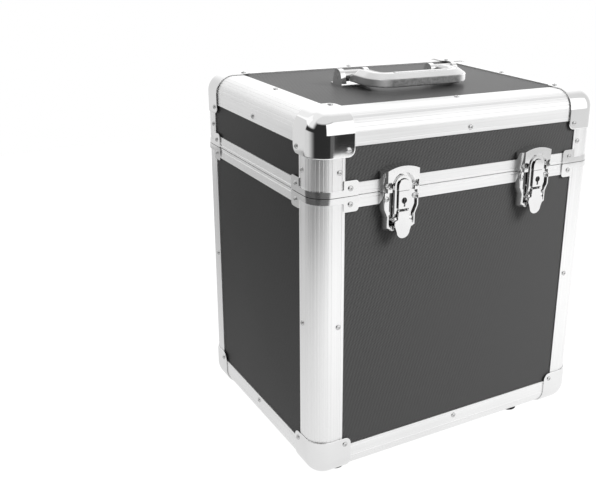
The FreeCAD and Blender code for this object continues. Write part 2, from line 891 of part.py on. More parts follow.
def at_latch(shape, side):
    """Carries a latch piece from the middle of the front to its side."""
    moved = shape.copy()
    moved.translate(Vector(side * latch_offset, -half_depth, 0))
    return moved


def hinge_leaf(up):
    """One hinge leaf; up is 1 for the base, which has the two outer knuckles."""
    half = hinge_width / 2
    middle = hinge_width * hinge_middle_share / 2
    axis_y = hinge_axis_standoff
    notch = hinge_barrel_radius + hinge_notch_gap
    far = split - up * hinge_leaf_height
    near = split - up * hinge_notch_gap
    low, high = min(far, near), max(far, near)
    leaf = block((-half, 0, low), (half, hinge_sheet, high))
    if up > 0:
        knuckles = [(-half, -middle - hinge_knuckle_gap / 2), (middle + hinge_knuckle_gap / 2, half)]
        gaps = [(-middle - hinge_knuckle_gap / 2, middle + hinge_knuckle_gap / 2)]
    else:
        knuckles = [(-middle + hinge_knuckle_gap / 2, middle - hinge_knuckle_gap / 2)]
        gaps = [(-half, -middle + hinge_knuckle_gap / 2), (middle - hinge_knuckle_gap / 2, half)]
    for x_low, x_high in knuckles:
        leaf = leaf.fuse(rod((x_low, axis_y, split), X, hinge_barrel_radius, x_high - x_low))
    for x_low, x_high in gaps:
        room = block((x_low, -hinge_sheet, split - notch), (x_high, hinge_sheet * 2, split + notch))
        leaf = leaf.cut(room)
    bore = hinge_pin_radius if up > 0 else hinge_pin_radius + running_gap
    return leaf.cut(hole((-half, axis_y, split), X, bore, hinge_width))


def at_hinge(shape, side):
    """Carries a hinge piece from the middle of the back to its side."""
    moved = shape.copy()
    moved.translate(Vector(side * hinge_offset, half_depth, 0))
    return moved


def handle_bracket():
    """A riveted bracket: a plate with two ears that hold the handle's pin."""
    half = bracket_width / 2
    plate_top = panel_face + bracket_plate
    pivot_z = case_top + pivot_height
    plate = block((-half, -bracket_front, panel_face), (half, bracket_back, plate_top))
    reach = pivot_z - plate_top
    # The ear's flank runs from the plate's edge and touches the round eye
    opening = math.acos(ear_radius / math.hypot(bracket_front, reach))
    bearing = math.pi - opening - math.atan2(bracket_front, reach)
    touch_y = ear_radius * math.sin(bearing)
    touch_z = -ear_radius * math.cos(bearing)
    body = plate
    for x_low in (-half, half - ear_thickness):
        edges_points = [(x_low, -bracket_front, plate_top), (x_low, -touch_y, pivot_z - touch_z),
                        (x_low, touch_y, pivot_z - touch_z), (x_low, bracket_front, plate_top)]
        foot = polygon(edges_points).extrude(X * ear_thickness)
        eye = rod((x_low, 0, pivot_z), X, ear_radius, ear_thickness, large_sides)
        body = body.fuse([foot, eye])
    return body.cut(hole((-half, 0, pivot_z), X, handle_pin_radius, bracket_width))


def handle_pin(side):
    """The pin through a bracket and one end of the handle."""
    start = side * bracket_middle - bracket_width / 2
    return pin((start, 0, case_top + pivot_height), X, handle_pin_radius, bracket_width)


def grip_path():
    """The U that the handle's arms and bar follow, at the height of the case top."""
    bend_start = grip_reach - grip_bend_radius
    bar_end = grip_half_span - grip_bend_radius
    step = math.pi / 2 / quarter_flats
    right = []
    for i in range(quarter_flats + 1):
        x = bar_end + grip_bend_radius * math.sin(step * i)
        y = -bend_start - grip_bend_radius * math.cos(step * i)
        right.append(Vector(x, y, 0))
    right.append(Vector(grip_half_span, -grip_arm_start, 0))
    left = [Vector(-point.x, point.y, 0) for point in reversed(right)]
    return Part.makePolygon(left + right)


def handle_grip():
    """The handle: a moulded section swept round a U, with a neck and a barrel at each end."""
    half = grip_half_width
    section = [
        (-half + grip_edge, grip_bottom), (half - grip_edge, grip_bottom),
        (half, grip_bottom + grip_edge), (half, grip_side_top),
        (grip_crest_outer, grip_crest), (-grip_crest_inner, grip_crest),
        (-half, grip_crest - grip_edge), (-half, grip_bottom + grip_edge),
    ]
    corners_3d = [Vector(-grip_half_span - out, -grip_arm_start, z) for out, z in section]
    profile = Part.makePolygon(corners_3d + corners_3d[:1])
    sharp_corners = 1
    swept = grip_path().makePipeShell([profile], True, False, sharp_corners)
    body = swept.Solids[0] if swept.Solids else Part.Solid(swept)
    body.translate(Z * case_top)
    barrel_half = bracket_width / 2 - ear_thickness - barrel_side_gap
    pivot_z = case_top + pivot_height
    for side in (-1, 1):
        middle = side * bracket_middle
        inner = middle - side * barrel_half
        outer = side * (grip_half_span + half)
        neck = block((min(inner, outer), -grip_arm_start - grip_edge, case_top + grip_bottom),
                     (max(inner, outer), 0, pivot_z + grip_neck_top))
        barrel = rod((middle - barrel_half, 0, pivot_z), X, barrel_radius, 2 * barrel_half, large_sides)
        bore_radius = handle_pin_radius + running_gap
        bore = hole((middle - barrel_half, 0, pivot_z), X, bore_radius, 2 * barrel_half)
        body = body.fuse([neck, barrel]).cut(bore)
    return body.cut(insert_channel(0))


def insert_channel(proud):
    """The room of the strip let into the top of the handle's bar."""
    half_length = (grip_half_span - grip_bend_radius) * insert_share
    y_middle = -grip_reach + (grip_crest_inner - grip_crest_outer) / 2
    top = case_top + grip_crest
    return block((-half_length, y_middle - insert_width / 2, top - insert_depth),
                 (half_length, y_middle + insert_width / 2, top + proud))


panels()

for corner_name, (corner_x, corner_y) in corners.items():
    save("base_" + corner_name + "_post", post(corner_x, corner_y, case_bottom + flange_width, base_edge))
    save("lid_" + corner_name + "_post", post(corner_x, corner_y, lid_edge, case_top - flange_width))

for part_name, is_top, edge_name in (("base", False, "bottom_edge"), ("lid", True, "top_edge")):
    save(part_name + "_front_" + edge_name, long_edge(-1, is_top))
    save(part_name + "_back_" + edge_name, long_edge(1, is_top))
    save(part_name + "_left_" + edge_name, side_edge(-1, is_top))
    save(part_name + "_right_" + edge_name, side_edge(1, is_top))

save("base_rim", rim(1))
save("lid_rim", rim(-1))

corner_cap = ball_corner()
save("base_ball_corners", [place_corner(corner_cap, sx, sy, False) for sx, sy in corners.values()])
save("lid_ball_corners", [place_corner(corner_cap, sx, sy, True) for sx, sy in corners.values()])
save("base_rim_clamps", [clamp(sx, sy, 1) for sx, sy in corners.values()])
save("lid_rim_clamps", [clamp(sx, sy, -1) for sx, sy in corners.values()])
save("base_rivets", base_rivets())
save("lid_rivets", lid_rivets())

foot_pads, foot_screws = feet()
save("base_feet", foot_pads)
save("base_foot_screws", foot_screws)

save("base_lining", lining(case_bottom + seat, base_edge, case_bottom + lip_inner, 1))
save("lid_lining", lining(lid_edge, case_top - seat, case_top - lip_inner, -1))

for side_name, side_sign in (("left", -1), ("right", 1)):
    save(side_name + "_latch_keeper", at_latch(latch_keeper(), side_sign))
    save(side_name + "_latch_plate", at_latch(latch_plate(), side_sign))
    save(side_name + "_latch_lever", at_latch(latch_lever(), side_sign))
    save(side_name + "_latch_bail", at_latch(latch_bail(), side_sign))
    save(side_name + "_latch_bail_pin", at_latch(latch_bail_pin(), side_sign))
    save(side_name + "_lock_plug", at_latch(lock_plug(), side_sign))
    bracket = handle_bracket()
    bracket.translate(X * (side_sign * bracket_middle))
    save("handle_" + side_name + "_bracket", bracket)

save("latch_lever_pins", [at_latch(latch_lever_pin(), side) for side in (-1, 1)])
save("base_hinge_leaves", [at_hinge(hinge_leaf(1), side) for side in (-1, 1)])
save("lid_hinge_leaves", [at_hinge(hinge_leaf(-1), side) for side in (-1, 1)])
hinge_pin = pin((-hinge_width / 2, hinge_axis_standoff, split), X, hinge_pin_radius, hinge_width)
save("hinge_pins", [at_hinge(hinge_pin, side) for side in (-1, 1)])

save("handle_pins", [handle_pin(-1), handle_pin(1)])
save("handle_grip", handle_grip())
save("handle_insert", insert_channel(insert_proud))

print(len(saved_nodes), "nodes")
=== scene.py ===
import json
import math

import bmesh
import bpy
from mathutils import Matrix, Vector


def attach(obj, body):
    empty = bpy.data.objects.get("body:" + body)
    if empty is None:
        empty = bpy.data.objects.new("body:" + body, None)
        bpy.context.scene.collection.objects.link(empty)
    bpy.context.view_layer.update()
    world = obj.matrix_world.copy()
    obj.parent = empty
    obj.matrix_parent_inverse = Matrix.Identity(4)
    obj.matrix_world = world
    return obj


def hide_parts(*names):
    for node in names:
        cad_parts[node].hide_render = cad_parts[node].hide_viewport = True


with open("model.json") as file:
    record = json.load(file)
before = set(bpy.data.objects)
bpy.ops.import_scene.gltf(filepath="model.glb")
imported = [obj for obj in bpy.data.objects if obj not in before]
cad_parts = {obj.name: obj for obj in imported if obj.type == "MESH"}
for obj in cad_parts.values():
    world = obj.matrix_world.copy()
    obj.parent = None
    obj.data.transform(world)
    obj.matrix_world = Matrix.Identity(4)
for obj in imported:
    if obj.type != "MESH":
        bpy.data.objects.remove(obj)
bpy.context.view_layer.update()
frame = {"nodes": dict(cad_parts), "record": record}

# Record carrying case. Lengths are in millimetres unless a name ends in _m.
scene = bpy.context.scene
mm = 0.001

# Sizes of the case, as in the part
case_width = 350.0
case_depth = 273.0
case_bottom = 6.0
case_top = 387.0
base_edge = 307.7
lid_edge = 308.3
half_width = case_width / 2
half_depth = case_depth / 2
corners = {"front_left": (-1, -1), "front_right": (1, -1), "back_left": (-1, 1), "back_right": (1, 1)}

# Sizes of the corner extrusions
edge_radius = 20.0
flange_width = 32.0
flange_round = 0.35
skin_thickness = 1.3
lip_thickness = 1.2
panel_thickness = 5.0
slot_clearance = 1.5
ridge_width = 0.6
ridge_depth = 0.16
ridge_inset = 3.4
round_ridges = 8

# Sizes of the ball corners
ball_reach = 41.5
ball_thickness = 1.5
ball_tip_radius = 7.0
ball_gap = 0.15
ball_rim_round = 0.4
ball_outer = edge_radius + ball_thickness
ball_under = edge_radius + ball_gap
ball_far = ball_reach - ball_tip_radius

# Sizes of the clamps at the split
clamp_reach = 46.0
clamp_thickness = 1.2
clamp_band = 6.0
clamp_ear_height = 15.0
clamp_ear_width = 16.0
clamp_tip_round = 3.5
clamp_foot_round = 1.0
clamp_shoulder_round = 1.6
clamp_inner_round = 1.2
clamp_bend_margin = 6.0

# Sizes of the rivets. The hollow in each dome is given as shares of its radius and of the rivet's height.
rivet_radius_m = 0.0028
rivet_height_m = 0.0013
rivet_wall_share = 0.25
hollow_radius_m = 0.0009
hollow_shares = [(1.15, 1.0), (1.0, 0.94), (0.85, 0.5), (0.0, 0.45)]

# Sizes of the handle grip, its groove and the barrels round its pivots
grip_half_span = 54.5
grip_reach = 47.5
grip_bend_radius = 18.0
grip_half_width = 10.0
grip_bottom = 3.0
grip_side_top = 11.6
grip_crest = 16.5
grip_round = 2.0
shoulder_drop = 0.5
shoulder_width = 1.2
shoulder_low_round = 0.6
shoulder_high_round = 0.8
crest_front = 2.4
crest_front_drop = 0.1
crest_back = -8.0
crest_back_drop = 2.0
crest_back_round = 1.2
groove_front = 0.8
groove_back = -6.2
groove_depth = 0.7
groove_floor_width = 0.5
groove_lip = 0.3
groove_round = 0.2
bed_inset = 0.7
bed_drop = 0.15
pivot_height = 8.6
bracket_middle = 58.5
barrel_half = 11.85
barrel_radius = 6.2
barrel_round = 0.5

# Distance from the pivot, and the arm's height there as a share of the bar's
arm_height_shares = [
    (20.0, 1.0), (14.0, 1.0), (12.0, 0.98), (10.5, 0.9), (9.0, 0.8), (7.5, 0.73), (6.0, 0.7), (2.0, 0.69),
]

# How far the edges of the other pieces are eased
keeper_ease = 0.35
plate_ease = 0.3
lever_ease = 0.3
bail_ease = 0.4
bracket_ease = 0.4
rim_ease = 0.1
leaf_ease = 0.3
lining_ease = 0.8
strip_ease = 0.3
foot_ease = 0.25

# Points closer than these are one point
weld_m = 2e-6
outline_weld = 1e-4
cap_weld = 1e-3

# Angles in degrees. Faces that turn by less are one face, and edges that turn by more are eased.
flat_angle = 0.5
eased_angle = 32.0
cap_rim_angle = 60.0

record = frame["record"]
slot_of = {part["node"]: part["material_slot"] for part in record["subparts"]}
body_of = {node: body for body, nodes in record["behaviour"]["bodies"].items() for node in nodes}


# Shader nodes

def grey(level):
    return (level, level, level, 1.0)


class Shading:
    """A tree of shader nodes under construction, with the place that its patterns follow."""

    def __init__(self, tree, coordinate):
        self.nodes = tree.nodes
        self.links = tree.links
        self.place = self.node("ShaderNodeTexCoord").outputs[coordinate]

    def node(self, kind, **settings):
        """A new node, with its properties or the values of its inputs set by name."""
        made = self.nodes.new(kind)
        for key, value in settings.items():
            if hasattr(made, key):
                setattr(made, key, value)
            else:
                made.inputs[key.replace("_", " ")].default_value = value
        return made

    def link(self, output, target):
        self.links.new(output, target)

    def axes(self):
        """The place, taken apart into X, Y and Z."""
        split = self.node("ShaderNodeSeparateXYZ")
        self.link(self.place, split.inputs["Vector"])
        return split.outputs

    def math(self, operation, *values):
        made = self.node("ShaderNodeMath", operation=operation)
        for socket, value in zip(made.inputs, values):
            if isinstance(value, (int, float)):
                socket.default_value = value
            else:
                self.link(value, socket)
        return made.outputs["Value"]

    def chained(self, operation, first, *others):
        """One operation that takes in the values one after another."""
        result = first
        for other in others:
            result = self.math(operation, result, other)
        return result

    def total(self, *values):
        return self.chained("ADD", *values)

    def product(self, *values):
        return self.chained("MULTIPLY", *values)

    def largest(self, *values):
        return self.chained("MAXIMUM", *values)

    def rest(self, value):
        """What a value lacks to one."""
        return self.math("SUBTRACT", 1.0, value)

    def blend(self, first, second, first_share):
        return self.total(self.product(first, first_share), self.product(second, 1.0 - first_share))

    def spread(self, value, start, end, low=0.0, high=1.0, smooth=False):
        """Low at the start and high at the end, with a straight or a smooth slope between them."""
        made = self.node("ShaderNodeMapRange", From_Min=start, From_Max=end, To_Min=low, To_Max=high)
        if smooth:
            made.interpolation_type = "SMOOTHSTEP"
        self.link(value, made.inputs["Value"])
        return made.outputs["Result"]

    def band(self, value, start, end, soft):
        """One between the start and the end and zero outside them, with soft limits."""
        rise = self.spread(value, start - soft, start + soft, smooth=True)
        fall = self.spread(value, end - soft, end + soft, smooth=True)
        return self.math("SUBTRACT", rise, fall)


class Surface(Shading):
    """A material under construction, with its main shader."""

    def __init__(self, name, level, roughness, metallic=0.0, **inputs):
        self.material = bpy.data.materials.new(name)
        self.material.use_nodes = True
        super().__init__(self.material.node_tree, "Object")
        self.shader = self.nodes["Principled BSDF"]
        self.shader.inputs["Base Color"].default_value = grey(level)
        self.shader.inputs["Roughness"].default_value = roughness
        self.shader.inputs["Metallic"].default_value = metallic
        for key, value in inputs.items():
            self.shader.inputs[key.replace("_", " ")].default_value = value

    def noise(self, scale, detail, roughness=0.5):
        """Noise with one scale, or stretched by a list of scales for the three axes."""
        vector = self.place
        if not isinstance(scale, float):
            mapping = self.node("ShaderNodeMapping", Scale=scale)
            self.link(vector, mapping.inputs["Vector"])
            vector = mapping.outputs["Vector"]
            scale = 1.0
        made = self.node("ShaderNodeTexNoise", Scale=scale, Detail=detail, Roughness=roughness)
        self.link(vector, made.inputs["Vector"])
        return made.outputs["Fac"]

    def tint(self, factor, dark, light, start=0.0, end=1.0):
        """Colours the surface from a dark to a light grey as the factor grows."""
        ramp = self.node("ShaderNodeValToRGB")
        for element, level, position in zip(ramp.color_ramp.elements, (dark, light), (start, end)):
            element.color = grey(level)
            element.position = position
        self.link(factor, ramp.inputs["Fac"])
        self.link(ramp.outputs["Color"], self.shader.inputs["Base Color"])

    def relief(self, height, depth_m):
        bump = self.node("ShaderNodeBump", Distance=depth_m, Strength=1.0)
        self.link(height, bump.inputs["Height"])
        self.link(bump.outputs["Normal"], self.shader.inputs["Normal"])

    def vary_roughness(self, factor, low, high):
        self.link(self.spread(factor, 0.0, 1.0, low, high), self.shader.inputs["Roughness"])


# Materials

def aluminium(name, axis):
    """Drawn aluminium with fine streaks along one axis."""
    surface = Surface(name, level=0.88, roughness=0.4, metallic=1.0)
    scales = [650.0, 650.0, 650.0]
    scales[axis] = 3.0
    streaks = surface.noise(scales, detail=2.0)
    cloud = surface.noise(11.0, detail=2.0)
    mixed = surface.blend(streaks, cloud, first_share=0.6)
    surface.tint(mixed, dark=0.82, light=0.89, start=0.35, end=0.65)
    surface.vary_roughness(streaks, low=0.28, high=0.38)
    surface.relief(streaks, depth_m=0.00003)
    return surface.material


def laminate(name, across, up):
    """Dark laminate pressed with a fine slanting weave in the plane of two axes."""
    surface = Surface(name, level=0.04, roughness=0.4, Specular_IOR_Level=0.12)
    parts = surface.axes()
    full_turn = 2 * math.pi / mm

    def thread(across_count, up_count):
        """Waves that come with a count for each millimetre along both axes."""
        along = surface.product(parts[across], across_count * full_turn)
        upward = surface.product(parts[up], up_count * full_turn)
        return surface.math("SINE", surface.total(along, upward))

    weave = surface.total(thread(0.25, -0.08), thread(0.21, -0.3))
    weave_share = 0.13
    grain = surface.noise(1300.0, detail=2.0)
    cloud = surface.noise(8.0, detail=3.0)
    mixed = surface.total(surface.product(weave, weave_share), grain)
    surface.tint(mixed, dark=0.014, light=0.052)
    surface.vary_roughness(cloud, low=0.37, high=0.45)
    surface.relief(mixed, depth_m=0.00005)
    return surface.material


def plated(name, level, low, high, scale=60.0, wave_depth_m=0.0):
    """Plated metal between two roughnesses, with slight waves in its skin."""
    surface = Surface(name, level=level, roughness=low, metallic=1.0)
    dull_share = 0.95
    dull = surface.noise(scale, detail=4.0)
    surface.tint(dull, dark=level * dull_share, light=level, start=0.3, end=0.7)
    surface.vary_roughness(dull, low, high)
    if wave_depth_m:
        surface.relief(surface.noise(scale / 2, detail=1.0), wave_depth_m)
    return surface.material


def moulded_rubber(name):
    """Dull black rubber with a moulded grain."""
    surface = Surface(name, level=0.006, roughness=0.8, Specular_IOR_Level=0.2)
    grain = surface.noise(500.0, detail=4.0, roughness=0.6)
    surface.tint(grain, dark=0.0042, light=0.0078, start=0.3, end=0.7)
    surface.vary_roughness(grain, low=0.74, high=0.88)
    surface.relief(grain, depth_m=0.0002)
    return surface.material


def grained_shell(name):
    """Grained dark grey along the bar of the grip, which turns to a lighter streaked grey on both arms:
    painted highlight on the bends.
    """
    surface = Surface(name, level=0.03, roughness=0.4)
    from_middle = surface.math("ABSOLUTE", surface.axes()["X"])
    # Share of painted highlight, which rises from the bar toward both arms and makes them lighter and
    # streaked
    arm_highlight_share = surface.spread(from_middle, start=0.04, end=0.056, smooth=True)
    grain = surface.noise(500.0, detail=4.0, roughness=0.6)
    streaks = surface.noise([60.0, 60.0, 1400.0], detail=2.0)
    spots = surface.product(surface.rest(arm_highlight_share), grain)
    lines = surface.product(arm_highlight_share, streaks)
    shade = surface.blend(arm_highlight_share, surface.total(spots, lines), first_share=0.7)
    surface.tint(shade, dark=0.021, light=0.4, start=0.05, end=0.85)
    surface.vary_roughness(arm_highlight_share, low=0.45, high=0.3)
    surface.relief(spots, depth_m=0.0003)
    return surface.material


def foam(name):
    """Soft foam sheet with a short fibrous face."""
    surface = Surface(name, level=0.03, roughness=0.95, Sheen_Weight=0.3, Sheen_Roughness=0.5)
    fibre = surface.noise(900.0, detail=6.0, roughness=0.7)
    cloud = surface.noise(30.0, detail=3.0)
    mixed = surface.blend(fibre, cloud, first_share=0.7)
    surface.tint(mixed, dark=0.018, light=0.05, start=0.3, end=0.7)
    surface.relief(fibre, depth_m=0.0004)
    return surface.material


aluminium_along_x = aluminium("aluminium_along_x", 0)
aluminium_along_y = aluminium("aluminium_along_y", 1)
aluminium_along_z = aluminium("aluminium_along_z", 2)
laminate_front = laminate("laminate_front", "X", "Z")
laminate_side = laminate("laminate_side", "Y", "Z")
laminate_flat = laminate("laminate_flat", "X", "Y")
chrome = plated("chrome", level=0.84, low=0.03, high=0.07, scale=30.0, wave_depth_m=0.0003)
nickel = plated("nickel", level=0.78, low=0.05, high=0.1, scale=90.0, wave_depth_m=0.0001)
silver = plated("silver", level=0.64, low=0.12, high=0.2, scale=40.0, wave_depth_m=0.0002)
steel = plated("steel", level=0.6, low=0.18, high=0.3)
brass = plated("brass", level=0.12, low=0.3, high=0.4)
rubber = moulded_rubber("rubber")
grained_grey = grained_shell("grained_grey")
lining_foam = foam("foam")
material_of = {
    "lining": lining_foam, "foot_rubber": rubber, "grip_shell": grained_grey, "grip_strip": silver,
    "rivet_steel": steel, "clamp_steel": nickel, "corner_chrome": chrome, "pin_steel": steel,
    "hinge_steel": nickel, "lock_brass": brass, "bracket_chrome": chrome, "latch_chrome": nickel,
}


def material_for(node):
    """The material of a node, by its slot and by the way it runs."""
    runs_across = "front" in node or "back" in node
    if node.endswith("_panel"):
        if runs_across:
            return laminate_front
        if "left" in node or "right" in node:
            return laminate_side
        return laminate_flat
    if node.endswith("_post"):
        return aluminium_along_z
    if node.endswith("_edge"):
        return aluminium_along_x if runs_across else aluminium_along_y
    if node.endswith("_rim"):
        return aluminium_along_x
    return material_of[slot_of[node]]


# Shapes

def finished(node, bm, sharp_angle, materials=None, weighted=False):
    """Makes the piece that stands for a node and rides on its body, from a shape in metres."""
    name = node + "_form"
    mesh = bpy.data.meshes.new(name)
    bm.to_mesh(mesh)
    bm.free()
    mesh.polygons.foreach_set("use_smooth", [True] * len(mesh.polygons))
    mesh.set_sharp_from_angle(angle=math.radians(sharp_angle))
    for material in materials or [material_for(node)]:
        mesh.materials.append(material)
    piece = bpy.data.objects.new(name, mesh)
    scene.collection.objects.link(piece)
    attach(piece, body_of[node])
    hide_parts(node)
    if weighted:
        flats = piece.modifiers.new("flats", "WEIGHTED_NORMAL")
        flats.keep_sharp = True
        flats.weight = 80
    return piece


def ease_edges(bm, size, segments, angle):
    """Rounds the edges that turn by more than an angle in degrees."""
    limit = math.radians(angle)
    sharp = [e for e in bm.edges if len(e.link_faces) == 2 and e.calc_face_angle(0.0) > limit]
    bmesh.ops.bevel(bm, geom=sharp, offset=size, offset_type="OFFSET", segments=segments,
                    profile=0.5, affect="EDGES", clamp_overlap=True)


def refined(node, ease):
    """Replaces a node by its own solid with eased edges."""
    bm = bmesh.new()
    bm.from_mesh(frame["nodes"][node].data)
    bmesh.ops.remove_doubles(bm, verts=bm.verts, dist=weld_m)
    bmesh.ops.dissolve_limit(bm, angle_limit=math.radians(flat_angle), verts=bm.verts, edges=bm.edges)
    ease_edges(bm, ease * mm, segments=2, angle=eased_angle)
    return finished(node, bm, sharp_angle=35.0, weighted=True)


def outline_solid(loops, depth):
    """A solid from closed flat outlines in local XY, pushed along local Z."""
    curve = bpy.data.curves.new("outline", "CURVE")
    curve.dimensions = "2D"
    curve.fill_mode = "BOTH"
    curve.extrude = depth / 2
    for loop in loops:
        spline = curve.splines.new("POLY")
        spline.points.add(len(loop) - 1)
        for point, (x, y) in zip(spline.points, loop):
            point.co = (x, y, 0.0, 1.0)
        spline.use_cyclic_u = True
    holder = bpy.data.objects.new("outline", curve)
    mesh = bpy.data.meshes.new_from_object(holder)
    bm = bmesh.new()
    bm.from_mesh(mesh)
    bpy.data.objects.remove(holder)
    bpy.data.curves.remove(curve)
    bpy.data.meshes.remove(mesh)
    bmesh.ops.translate(bm, verts=bm.verts, vec=(0.0, 0.0, depth / 2))
    bmesh.ops.remove_doubles(bm, verts=bm.verts, dist=outline_weld)
    return bm


def axes_matrix(origin, u, v, w):
    matrix = Matrix((u, v, w)).transposed().to_4x4()
    matrix.translation = Vector(origin)
    return matrix


def moved(bm, matrix):
    """Carries a shape in millimetres to its place in metres."""
    bmesh.ops.transform(bm, matrix=Matrix.Scale(mm, 4) @ matrix, verts=bm.verts)
    bmesh.ops.recalc_face_normals(bm, faces=bm.faces)
    return bm


def at_corner(bm, sx, sy, z, up):
    """Carries a shape that opens along +X, +Y and +Z to a corner of the case."""
    origin = (sx * half_width, sy * half_depth, z)
    return moved(bm, axes_matrix(origin, (-sx, 0, 0), (0, -sy, 0), (0, 0, up)))


def joined(parts):
    """One shape out of several."""
    whole = bmesh.new()
    for part in parts:
        mesh = bpy.data.meshes.new("part")
        part.to_mesh(mesh)
        part.free()
        whole.from_mesh(mesh)
        bpy.data.meshes.remove(mesh)
    return whole


def lathe(profile, origin, outward, sides):
    """A turned shape from (radius, height) points in metres, standing on the origin."""
    bm = bmesh.new()
    angles = [2 * math.pi * i / sides for i in range(sides)]
    rings = []
    for radius, height in profile:
        if radius:
            ring = [bm.verts.new((radius * math.cos(a), radius * math.sin(a), height)) for a in angles]
        else:
            ring = [bm.verts.new((0.0, 0.0, height))] * sides
        rings.append(ring)
    for low, high in zip(rings, rings[1:]):
        for i in range(sides):
            j = (i + 1) % sides
            around = dict.fromkeys((low[i], low[j], high[j], high[i]))
            bm.faces.new(list(around))
    turn = Vector((0.0, 0.0, 1.0)).rotation_difference(Vector(outward)).to_matrix().to_4x4()
    bmesh.ops.transform(bm, matrix=Matrix.Translation(origin) @ turn, verts=bm.verts)
    bmesh.ops.recalc_face_normals(bm, faces=bm.faces)
    return bm


# Corner extrusions

def round_point(angle, radius):
    """A point of the round outer corner, at an angle from the first face."""
    return (edge_radius - radius * math.sin(angle), edge_radius - radius * math.cos(angle))


def mirrored(points):
    """The same points on the other face, in the order that goes on round the outline."""
    return [(b, a) for a, b in reversed(points)]


def ridged_section():
    """Outline of a corner extrusion, with both faces measured inward from its outer corner."""
    half = ridge_width / 2
    slot_inner = skin_thickness + panel_thickness
    lip_inner = slot_inner + lip_thickness
    seat = edge_radius + slot_clearance
    web = seat - lip_thickness
    mark = flange_width - ridge_inset
    cut = flange_round * (1 - math.sqrt(0.5))
    flat = [
        (flange_width, flange_round), (flange_width - cut, cut), (flange_width - flange_round, 0.0),
        (mark + half, 0.0), (mark, ridge_depth), (mark - half, 0.0),
    ]
    bend = []
    turn = math.pi / 2 / round_ridges
    width = half / edge_radius
    for i in range(round_ridges):
        middle = turn * (i + 0.5)
        beside = (turn / 2 + width) / 2
        for angle in (turn * i, middle - beside, middle - width):
            bend.append(round_point(angle, edge_radius))
        bend.append(round_point(middle, edge_radius - ridge_depth))
        for angle in (middle + width, middle + beside):
            bend.append(round_point(angle, edge_radius))
    bend.append(round_point(math.pi / 2, edge_radius))
    slot = [
        (skin_thickness, flange_width), (skin_thickness, seat), (slot_inner, seat),
        (slot_inner, flange_width), (lip_inner, flange_width), (lip_inner, web),
    ]
    outer = flat + bend + mirrored(flat) + slot + mirrored(slot)
    chamber_steps = 8
    inner_radius = edge_radius - skin_thickness
    chamber_corner = lip_inner - lip_thickness * math.sqrt(2)
    chamber = [round_point(math.pi / 2 * i / chamber_steps, inner_radius) for i in range(chamber_steps + 1)]
    chamber_side = [(skin_thickness, web), (chamber_corner, web)]
    return [outer, chamber + chamber_side + mirrored(chamber_side)]


def extrusion(node, origin, u, v, length):
    """Replaces a node by the ridged extrusion that runs from the origin at the outer corner."""
    along = [0.0 if a or b else 1.0 for a, b in zip(u, v)]
    bm = moved(outline_solid(ridged_section(), length), axes_matrix(origin, u, v, along))
    finished(node, bm, sharp_angle=12.0)


def posts():
    """The four corner posts of the body and the four of the lid."""
    spans = {"base": (case_bottom + flange_width, base_edge), "lid": (lid_edge, case_top - flange_width)}
    for place, (sx, sy) in corners.items():
        for part, (low, high) in spans.items():
            origin = (sx * half_width, sy * half_depth, low)
            extrusion(f"{part}_{place}_post", origin, (-sx, 0, 0), (0, -sy, 0), high - low)


def long_edges():
    """The bottom edges of the body and the top edges of the lid."""
    run_x = case_width - 2 * flange_width
    run_y = case_depth - 2 * flange_width
    for part, kind, z, up in (("base", "bottom_edge", case_bottom, 1), ("lid", "top_edge", case_top, -1)):
        for side, sign in (("front", -1), ("back", 1)):
            origin = (-run_x / 2, sign * half_depth, z)
            extrusion(f"{part}_{side}_{kind}", origin, (0, -sign, 0), (0, 0, up), run_x)
        for side, sign in (("left", -1), ("right", 1)):
            origin = (sign * half_width, -run_y / 2, z)
            extrusion(f"{part}_{side}_{kind}", origin, (-sign, 0, 0), (0, 0, up), run_y)


# Ball corners

def cap_marks():
    """Places along both sides of a leaf, close together in its bend and at its round tip."""
    bend_steps = 12
    tip_steps = 6
    slopes = [math.tan(math.pi / 4 * (1 - i / bend_steps)) for i in range(bend_steps)]
    marks = [edge_radius - ball_outer * slope for slope in slopes]
    marks += [edge_radius, (edge_radius + ball_far) / 2]
    marks += [ball_far + ball_tip_radius * i / tip_steps for i in range(tip_steps + 1)]
    return marks


def cap_point(x, y, radius):
    """The point of a leaf over a place in its plane, at a radius from the middle of the round edge."""
    if x > ball_far and y > ball_far:
        a = (x - ball_far) / ball_tip_radius
        b = (y - ball_far) / ball_tip_radius
        share = max(a, b) / math.hypot(a, b)
        x = ball_far + ball_tip_radius * a * share
        y = ball_far + ball_tip_radius * b * share
    inner = Vector((max(x, edge_radius), max(y, edge_radius), edge_radius))
    outward = (Vector((x, y, edge_radius - ball_outer)) - inner).normalized()
    return inner + outward * radius


def ball_cap():
    """A smooth corner cap with three leaves, at a corner that opens along +X, +Y and +Z."""
    bm = bmesh.new()
    marks = cap_marks()
    last = len(marks) - 1
    for axis in range(3):
        shells = []
        for radius in (ball_outer, ball_under):
            grid = []
            for x in marks:
                points = [cap_point(x, y, radius) for y in marks]
                grid.append([bm.verts.new([p[(k - axis) % 3] for k in range(3)]) for p in points])
            for i in range(last):
                for j in range(last):
                    bm.faces.new((grid[i][j], grid[i + 1][j], grid[i + 1][j + 1], grid[i][j + 1]))
            shells.append(grid)
        outer, under = shells
        for j in range(last):
            bm.faces.new((outer[last][j], outer[last][j + 1], under[last][j + 1], under[last][j]))
            bm.faces.new((outer[j][last], outer[j + 1][last], under[j + 1][last], under[j][last]))
    bmesh.ops.remove_doubles(bm, verts=bm.verts, dist=cap_weld)
    bmesh.ops.recalc_face_normals(bm, faces=bm.faces)
    ease_edges(bm, ball_rim_round, segments=3, angle=cap_rim_angle)
    return bm


def ball_corners():
    """The four caps of the body and the four of the lid."""
    for part, z, up in (("base", case_bottom, 1), ("lid", case_top, -1)):
        caps = [at_corner(ball_cap(), sx, sy, z, up) for sx, sy in corners.values()]
        finished(part + "_ball_corners", joined(caps), sharp_angle=60.0)


# Clamps round the posts at the split

def arc_height(radius, along):
    return math.sqrt(max(0.0, radius ** 2 - along ** 2))


